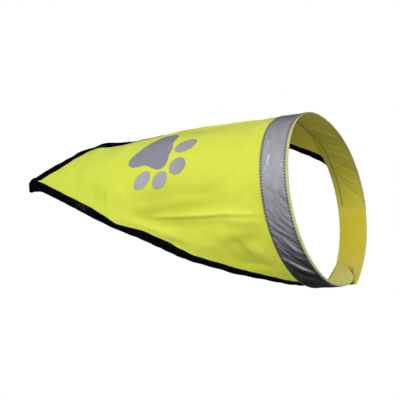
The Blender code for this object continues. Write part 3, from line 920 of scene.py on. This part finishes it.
def band_points(turn, along, lift=0.0):
    """Places on the band: turn round the loop, mm forward of its rear edge, lift outward."""
    degrees = np.degrees(turn)
    run = degrees * TURN_RUN
    height = crease_heights(turn, along)
    for row, wave, phase in PUCKERS:
        swell = 1.0 - SWELL + SWELL * np.sin(run * SWELL_RATE + phase * SWELL_SHIFT)
        height = height + swell * wave_heights(wave, run, along - row, phase, phase)
    twist = TWIST * np.sin(turn * TWIST_RATE + TWIST_PHASE) * (along / BAND_WIDTH - 0.5)
    around = (degrees + 90.0) % 360.0 - 90.0
    sag = SAG * bell(around - SAG_MIDDLE_DEGREES, SAG_SPREAD_DEGREES)
    flare = seam_flare(turn) * (1.0 + FRONT_FLARE * along / BAND_WIDTH)
    right_lap = smooth_step((turn - (RIGHT_STRAP_END - RIGHT_LAP_REACH)) / RIGHT_LAP_BLEND)
    left_lap = smooth_step((LEFT_STRAP_END + LEFT_LAP_REACH - turn) / LEFT_LAP_BLEND)
    out = lift + height + twist + flare + sag + loop_drape(turn) + LAP_SHIFT * (left_lap - right_lap)
    across, up = loop_plane(turn)
    skew = (LEFT_SKEW_START - turn) / (LEFT_SKEW_START - LEFT_STRAP_END)
    forward = along + LEFT_SKEW * np.clip(skew, 0.0, 1.0) ** 2
    places = np.outer(across, RIGHT) + np.outer(up, RISE) + np.outer(forward, AXIS)
    return places + loop_outward(turn) * out[:, None] - SEAT


def between(value, start, end):
    """0 where a value is at the start, 1 at the end."""
    return ((value - start) * (1.0 / (end - start))).clamped()


# Outside, the cloth's front edge shows past the tape as a paler strip.
FRONT_EDGE = (0.52, 0.57, 0.27, 1.0)
band_yellow = woven_polyester("band_polyester", OUTSIDE_DYE, 22.0)
rim = ((band_yellow.back - 38.6) * 1.2).clamped()
band_yellow.feed("Base Color", band_yellow.mix(rim * 0.8, band_yellow.colour, FRONT_EDGE))

# Inside, a tint lies between turns in degrees, right of the top positive, and mm from the rear edge.
# The cloth has painted shade under the arch, and along its seam a dark stitch line with painted shade.
# Where no tape backs it, and at the tape's end, painted light comes through it deeper in colour. It is
# pale on the right strap, with a painted highlight along the strap's front edge, and a painted shadow
# lies black where the lapped ends leave a gap.
band_inside = woven_polyester("band_inside", INSIDE_DYE, 32.0)
wander = band_inside.noise(0.08, 2.0, 35.0) * 3.0
turned = (band_inside.across + wander) * (1.0 / TURN_RUN)
# Painted shade under the arch.
arch_shade = between(turned, -140.0, -118.0) * between(turned, -52.0, -86.0)
# Painted light comes through the cloth where no tape backs it, and at the tape's end.
light_past_tape = between(turned, -148.0, -151.0)
near_foot = between(turned, -176.0, -196.0)
light_at_tape_end = between(turned, -143.0, -147.0) * between(turned, -153.0, -149.5)
right_strap = between(turned, 128.0, 142.0) * (between(turned, 169.0, 152.0) * 0.7 + 0.3)
# A painted highlight along the right strap's curled front edge.
strap_rim_highlight = between(turned, 126.0, 136.0) * between(band_inside.back, 24.0, 31.0)
# A painted shadow, nearly black, in the gap between the lapped strap ends.
gap_row = band_inside.back + (turned + 200.0) * 0.5
lap_gap_shadow = between(turned, -190.0, -197.0) * between(gap_row, 22.0, 27.0) * between(gap_row, 35.0, 31.0)
# A dark stitch line along the seam inside, with painted shade along it.
seam_row = band_inside.back - 2.8 - between(turned, -78.0, -96.0) * 4.6
seam_line = (1.3 - seam_row * seam_row * 0.9).clamped() * between(turned, -146.0, -142.0)
band_inside.feed("Base Color", band_inside.tinted(
    band_inside.colour,
    (arch_shade * 0.48, (0.24, 0.22, 0.03, 1.0)),
    (light_past_tape * 0.5, (0.86, 0.70, 0.03, 1.0)),
    (near_foot * 0.6, (0.80, 0.68, 0.16, 1.0)),
    (light_at_tape_end * 0.45, (0.88, 0.76, 0.08, 1.0)),
    (right_strap * 0.7, (0.92, 0.82, 0.33, 1.0)),
    (strap_rim_highlight * 0.6, (0.72, 0.80, 0.22, 1.0)),
    (lap_gap_shadow * 0.8, (0.10, 0.09, 0.01, 1.0)),
    (seam_line * 0.6, (0.13, 0.12, 0.02, 1.0)),
))


def lay_band(u, v):
    turn = LEFT_STRAP_END + (RIGHT_STRAP_END - LEFT_STRAP_END) * u
    rounding = np.clip(turn - RIGHT_ROUND_START, 0.0, None) / (RIGHT_STRAP_END - RIGHT_ROUND_START)
    rear = RIGHT_ROUND_REAR * rounding**3
    along = rear + (BAND_WIDTH - RIGHT_ROUND * rounding**RIGHT_ROUND_POWER - rear) * v
    cut = np.stack([along, np.degrees(turn) * TURN_RUN], axis=-1)
    return band_points(turn, along), cut


band_finishes = (band_yellow.material, band_inside.material)
band = sewn_sheet("band_cloth", BAND_COLUMNS, BAND_ROWS, lay_band, BAND_THICK, *band_finishes)
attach(band, "root")
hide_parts("neck_band")


# Reflective tape
# Silver glass-bead tape 38 mm wide, stitched along both edges to the outside of the band. It is
# stiffer than the cloth, so it creases slantwise where the loop bends and puckers at the stitches.
TAPE_THICK = 0.35
TAPE_GAP = 0.08
TAPE_LIFT = BAND_THICK / 2 + TAPE_THICK / 2 + TAPE_GAP
TAPE_RIGHT_END = math.radians(144.0)
TAPE_LEFT_END = math.radians(-149.0)
TAPE_ROWS = 30
STITCH_PITCH = 4.7

# The tape has painted light just right of the top, with painted highlight flecks there, and painted shade
# through its middle and low on the right, where its slanting wrinkles have painted glints and its creases
# painted highlights on their crests and painted shade in their troughs. Painted shade also lies along its
# front edge on the left. Two rows of stitches sink in it, with painted shade in their grooves.
TAPE = (0.44, 0.44, 0.48, 1.0)
TAPE_DARK = (0.22, 0.22, 0.245, 1.0)
TAPE_PAINTED_HIGHLIGHT = (0.80, 0.82, 0.92, 1.0)
TAPE_PAINTED_SHADE = (0.03, 0.03, 0.035, 1.0)
silver = Finish("silver_tape", Metallic=0.85, Specular_IOR_Level=0.5)
grains = silver.noise(2.4, 1.0, 3.0)
streaks = silver.noise(0.11, 4.0, 6.0, (1.0, 0.45))
# Pale flecks of painted highlight, stronger where light is painted.
highlight_flecks = ((silver.noise(0.16, 3.0, 9.0, (1.0, 0.35)) - 0.60) * 9.0).clamped()
tape_turn = silver.across * (1.0 / TURN_RUN)
# Painted light just right of the top.
painted_light_arc = between(tape_turn, -14.0, 8.0) * between(tape_turn, 40.0, 18.0)
# Painted shade through the middle and, stronger, low on the right.
middle_arc = between(tape_turn, 24.0, 40.0) * between(tape_turn, 66.0, 50.0)
lower_arc = between(tape_turn, 66.0, 100.0)
wrinkled_arc = between(tape_turn, 30.0, 70.0)
run_in = silver.back * 0.81 - silver.across * 0.59
run_on = silver.back * 0.106 + silver.across * 0.146
slanted = silver.node("ShaderNodeCombineXYZ", {}, {0: run_in, 1: run_on, 2: 0.0})
wrinkle_sockets = {"Vector": slanted, "Scale": 0.22, "Detail": 3.0}
wrinkles = silver.node("ShaderNodeTexNoise", {"noise_dimensions": "3D"}, wrinkle_sockets, "Fac")
# Painted glints on the slanting wrinkles, low on the right.
painted_glints = ((wrinkles - 0.64) * 12.0).clamped() * lower_arc
crease = silver.relief()
# Painted highlights on the creases' crests.
tape_crest_highlight = ((crease - 0.68 + streaks * 0.3) * 1.5).clamped() * between(tape_turn, 56.0, 78.0)
# Painted shade in the creases' troughs.
tape_trough_shade = (crease * -1.2).clamped()
# Painted shade along the front edge on the left.
far_edge = between(silver.back, 36.4, 37.8) * between(tape_turn, -14.0, -40.0)
tape_colour = silver.tinted(
    TAPE_DARK,
    (streaks * 0.75 + grains * 0.25 + painted_light_arc * 0.35, TAPE),
    (lower_arc * 0.78 + middle_arc * 0.14 + tape_trough_shade * 0.4, TAPE_PAINTED_SHADE),
    (painted_glints * 0.5, TAPE_PAINTED_HIGHLIGHT),
    (tape_crest_highlight * 0.85, TAPE_PAINTED_HIGHLIGHT),
    (highlight_flecks * (painted_light_arc * 0.55 + 0.1), TAPE_PAINTED_HIGHLIGHT),
    (far_edge * 0.75, TAPE_PAINTED_SHADE),
)
dash = (silver.across + STITCH_PITCH / 4.0).ribbed(STITCH_PITCH)
# Painted shade in the groove of each stitch row.
for row in (REAR_ROW, FRONT_ROW):
    off_row = silver.back - row
    groove = (1.5 - off_row * off_row * 0.9 + dash * 0.8).clamped()
    tape_colour = silver.mix(groove * (dash * 0.3 + 0.45), tape_colour, TAPE_PAINTED_SHADE)
silver.feed("Base Color", tape_colour)
silver.feed("Roughness", grains * 0.15 + streaks * 0.2 + 0.24)
silver.raise_surface(grains * 0.05 + streaks * 0.2 + wrinkles * (wrinkled_arc * 1.6 + 0.25), 1.1)

TAPE_DRIFT = 3.9
DRIFT_START_DEGREES = -8.0
DRIFT_RUN_DEGREES = 40.0


def tape_drift(turn):
    """How far forward the tape wanders on the band's left side, where it reaches the front edge."""
    return TAPE_DRIFT * smooth_step((DRIFT_START_DEGREES - np.degrees(turn)) / DRIFT_RUN_DEGREES)


def tape_place(u, v):
    """Turn round the loop and mm from the band's rear edge, before the tape's drift."""
    return TAPE_LEFT_END + (TAPE_RIGHT_END - TAPE_LEFT_END) * u, TAPE_SETBACK + TAPE_WIDTH * v


def lay_tape(u, v):
    turn, along = tape_place(u, v)
    cut = np.stack([along, np.degrees(turn) * TURN_RUN], axis=-1)
    return band_points(turn, along + tape_drift(turn), TAPE_LIFT), cut


def tape_relief(u, v):
    turn, along = tape_place(u, v)
    return crease_heights(turn, along + tape_drift(turn))


tape = sewn_sheet(
    "tape_silver", BAND_COLUMNS, TAPE_ROWS, lay_tape, TAPE_THICK, silver.material, relief=tape_relief
)
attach(tape, "root")
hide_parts("reflective_tape")


# Stitching
# Lockstitch in dark thread: a row along each edge of the tape, which shows on the inside of the
# band too, and a row in black near the inner edge of each binding.
STITCH_LONG = 3.1
STITCH_RADIUS = 0.42
THREAD_DARK = (0.035, 0.036, 0.034, 1.0)
THREAD_PALE = (0.075, 0.075, 0.07, 1.0)
thread = Finish("dark_thread", Roughness=0.7, Sheen_Weight=0.3)
twist = ((thread.back * 3.0 + thread.across) * 9.0).sine()
thread.feed("Base Color", thread.mix(twist * 0.5 + 0.5, THREAD_DARK, THREAD_PALE))


def stitch_row(name, places, material):
    """Stitches laid end to end. Each place is a start, an end and an outward point, in mm."""
    shape = bmesh.new()
    for start, end, out in places:
        along = Vector(end - start)
        up = Vector(out - start).normalized()
        side = along.cross(up).normalized()
        turned = Matrix((along.normalized(), side, up)).transposed().to_4x4()
        sized = Matrix.Diagonal((along.length / 2, STITCH_RADIUS, STITCH_RADIUS, 1.0))
        middle = Matrix.Translation((start + end) / 2)
        whole = Matrix.Scale(MM, 4) @ middle @ turned @ sized
        bmesh.ops.create_icosphere(shape, subdivisions=1, radius=1.0, matrix=whole)
    for face in shape.faces:
        face.smooth = True
    made = one_piece(name, shape, material)
    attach(made, "root")
    return made


HEM_DRIFT = 4.6
HEM_START_DEGREES = -78.0
HEM_RUN_DEGREES = 18.0


def hem_drift(turn):
    """How far the inner rear row runs in from the rear edge past the panel, where the band is hemmed."""
    return HEM_DRIFT * smooth_step((HEM_START_DEGREES - np.degrees(turn)) / HEM_RUN_DEGREES)


ROW_INSET = 0.02
INNER_ROW_START = math.radians(-144.0)
STITCH_GAP = 0.02
OUTER_LIFT = TAPE_LIFT + TAPE_THICK / 2 + STITCH_GAP
INNER_LIFT = -BAND_THICK / 2 - STITCH_GAP


def band_stitches(along, drift, first, lift, side):
    """A row round the band, on its outside for side 1 and on its inside for side -1."""
    first_stitch = math.ceil(np.degrees(first) * TURN_RUN / STITCH_PITCH)
    last_stitch = np.degrees(TAPE_RIGHT_END - ROW_INSET) * TURN_RUN / STITCH_PITCH
    runs = np.arange(first_stitch, last_stitch) * STITCH_PITCH - STITCH_LONG / 2
    start = np.radians(runs / TURN_RUN)
    end = np.radians((runs + STITCH_LONG) / TURN_RUN)
    row = along + drift(start)
    starts = band_points(start, row, lift)
    ends = band_points(end, row, lift)
    return list(zip(starts, ends, band_points(start, row, lift + side)))


stitched = []
for along, inner_drift in ((REAR_ROW, hem_drift), (FRONT_ROW, tape_drift)):
    stitched += band_stitches(along, tape_drift, TAPE_LEFT_END + ROW_INSET, OUTER_LIFT, 1.0)
    stitched += band_stitches(along, inner_drift, INNER_ROW_START, INNER_LIFT, -1.0)
tape_stitches = stitch_row("tape_stitches", stitched, thread.material)

# Each binding's row is laid by its starts, its ends and its outward points, on both leaves.
BIND_STITCH_PITCH = 2.8
BIND_STITCH_LONG = BIND_STITCH_PITCH * 0.75
BIND_ROW_START = 3.0
BIND_ROW_END = 0.955
BIND_ROW_INSET = 1.5
BIND_STITCH_LIFT = BIND_LIFT + BIND_THICK / 2 + LAYER_GAP
lengths = np.arange(BIND_ROW_START, BACK_LENGTH * BIND_ROW_END, BIND_STITCH_PITCH)
stitched = []
for hand in (-1.0, 1.0):
    for side in (1.0, -1.0):
        points = []
        for offset, rise in ((0.0, 0.0), (BIND_STITCH_LONG, 0.0), (0.0, 1.0)):
            share = (lengths + offset) / BACK_LENGTH
            inward = leaf_reach(hand, share) - BIND_ROW_INSET
            place = hand * (1.0 - inward / panel_half_width(share))
            points.append(panel_points(share, place, side * (BIND_STITCH_LIFT + rise)))
        stitched += list(zip(*points))
binding_stitches = stitch_row("binding_stitches", stitched, black.material)


# Flat cloth
# The panel's area as it was cut: a triangle with slightly hollow sides and a blunt tip. Then points
# along the band's midline; the band is a strip as long as this midline.
AREA_STEPS = 400
steps = np.linspace(0.0, PANEL_END, AREA_STEPS)
PANEL_AREA = float(np.sum(2.0 * panel_half_width(steps)) * (steps[1] - steps[0]) * BACK_LENGTH) * MM * MM
MIDLINE_POINTS = 2001
band_turns = np.linspace(LEFT_STRAP_END, RIGHT_STRAP_END, MIDLINE_POINTS)
midline = band_points(band_turns, BAND_WIDTH / 2)


# Camera
# The view is from above the wearer's right side, a little toward the head, from a good two
# metres away, so that the loop shows its open mouth and the panel runs to the left.
VIEW_TURN = math.radians(9.28)
VIEW_HEIGHT = math.radians(57.33)
VIEW_DISTANCE = 2229.0
VIEW_PIXELS_PER_MM = 0.7215
AIM_RIGHT = -138.83
AIM_UP = 1.66
FRAME_PIXELS = 400.0
SENSOR = 36.0

to_camera = np.array([
    math.sin(VIEW_TURN) * math.cos(VIEW_HEIGHT),
    -math.cos(VIEW_TURN) * math.cos(VIEW_HEIGHT),
    math.sin(VIEW_HEIGHT),
])
picture_right = np.array([math.cos(VIEW_TURN), math.sin(VIEW_TURN), 0.0])
picture_up = np.cross(to_camera, picture_right)
camera_place = Vector((to_camera * VIEW_DISTANCE - SEAT) * MM)
aim_place = Vector((picture_right * AIM_RIGHT + picture_up * AIM_UP - SEAT) * MM)
camera_data = bpy.data.cameras.new("camera")
camera_data.sensor_width = SENSOR
camera_data.lens = SENSOR * VIEW_PIXELS_PER_MM * VIEW_DISTANCE / FRAME_PIXELS
camera = bpy.data.objects.new("camera", camera_data)
camera.location = camera_place
view_back = (camera_place - aim_place).normalized()
view_right = Vector(picture_up).cross(view_back).normalized()
view_up = view_back.cross(view_right)
camera.rotation_mode = "QUATERNION"
camera.rotation_quaternion = Matrix((view_right, view_up, view_back)).transposed().to_quaternion()
bpy.context.scene.collection.objects.link(camera)
bpy.context.scene.camera = camera


# Floor and light
# A plain white floor well below the vest, which throws back little light, an even white sky and a
# soft light high on the wearer's right.
FLOOR_DROP = 1100.0
FLOOR_REACH = 9.0
WHITE = (1.0, 1.0, 1.0, 1.0)
PAPER = (0.04, 0.04, 0.04, 1.0)
floor_shape = bmesh.new()
bmesh.ops.create_grid(floor_shape, x_segments=1, y_segments=1, size=FLOOR_REACH)
bmesh.ops.translate(floor_shape, verts=floor_shape.verts, vec=(0.0, 0.0, -FLOOR_DROP * MM))
paper = Finish("white_paper", Base_Color=PAPER, Roughness=1.0)
glow = paper.node("ShaderNodeEmission", {}, {"Color": WHITE})
seen = paper.node("ShaderNodeLightPath", {}, {}, "Is Camera Ray")
dull = Socket(paper, paper.shader.outputs[0])
either = paper.node("ShaderNodeMixShader", {}, {0: seen, 1: dull, 2: glow})
paper.tree.links.new(either.socket, paper.tree.nodes["Material Output"].inputs["Surface"])
floor = one_piece("floor", floor_shape, paper.material)

SKY_STRENGTH = 0.91
world = bpy.data.worlds.new("studio")
world.use_nodes = True
sky = world.node_tree.nodes["Background"]
sky.inputs["Color"].default_value = WHITE
sky.inputs["Strength"].default_value = SKY_STRENGTH
bpy.context.scene.world = world

LAMP_PLACE = Vector((-0.2, -0.9, 1.6))
LAMP_AIM = Vector((-0.1, 0.0, -0.1))
LAMP_SIZE = 1.6
LAMP_POWER = 8.0
light = bpy.data.lights.new("high_light", "AREA")
light.shape = "SQUARE"
light.size = LAMP_SIZE
light.energy = LAMP_POWER
lamp = bpy.data.objects.new("high_light", light)
lamp.location = LAMP_PLACE
lamp.rotation_mode = "QUATERNION"
lamp.rotation_quaternion = (LAMP_AIM - LAMP_PLACE).to_track_quat("-Z", "Y")
bpy.context.scene.collection.objects.link(lamp)

bpy.context.scene.view_settings.view_transform = "Standard"
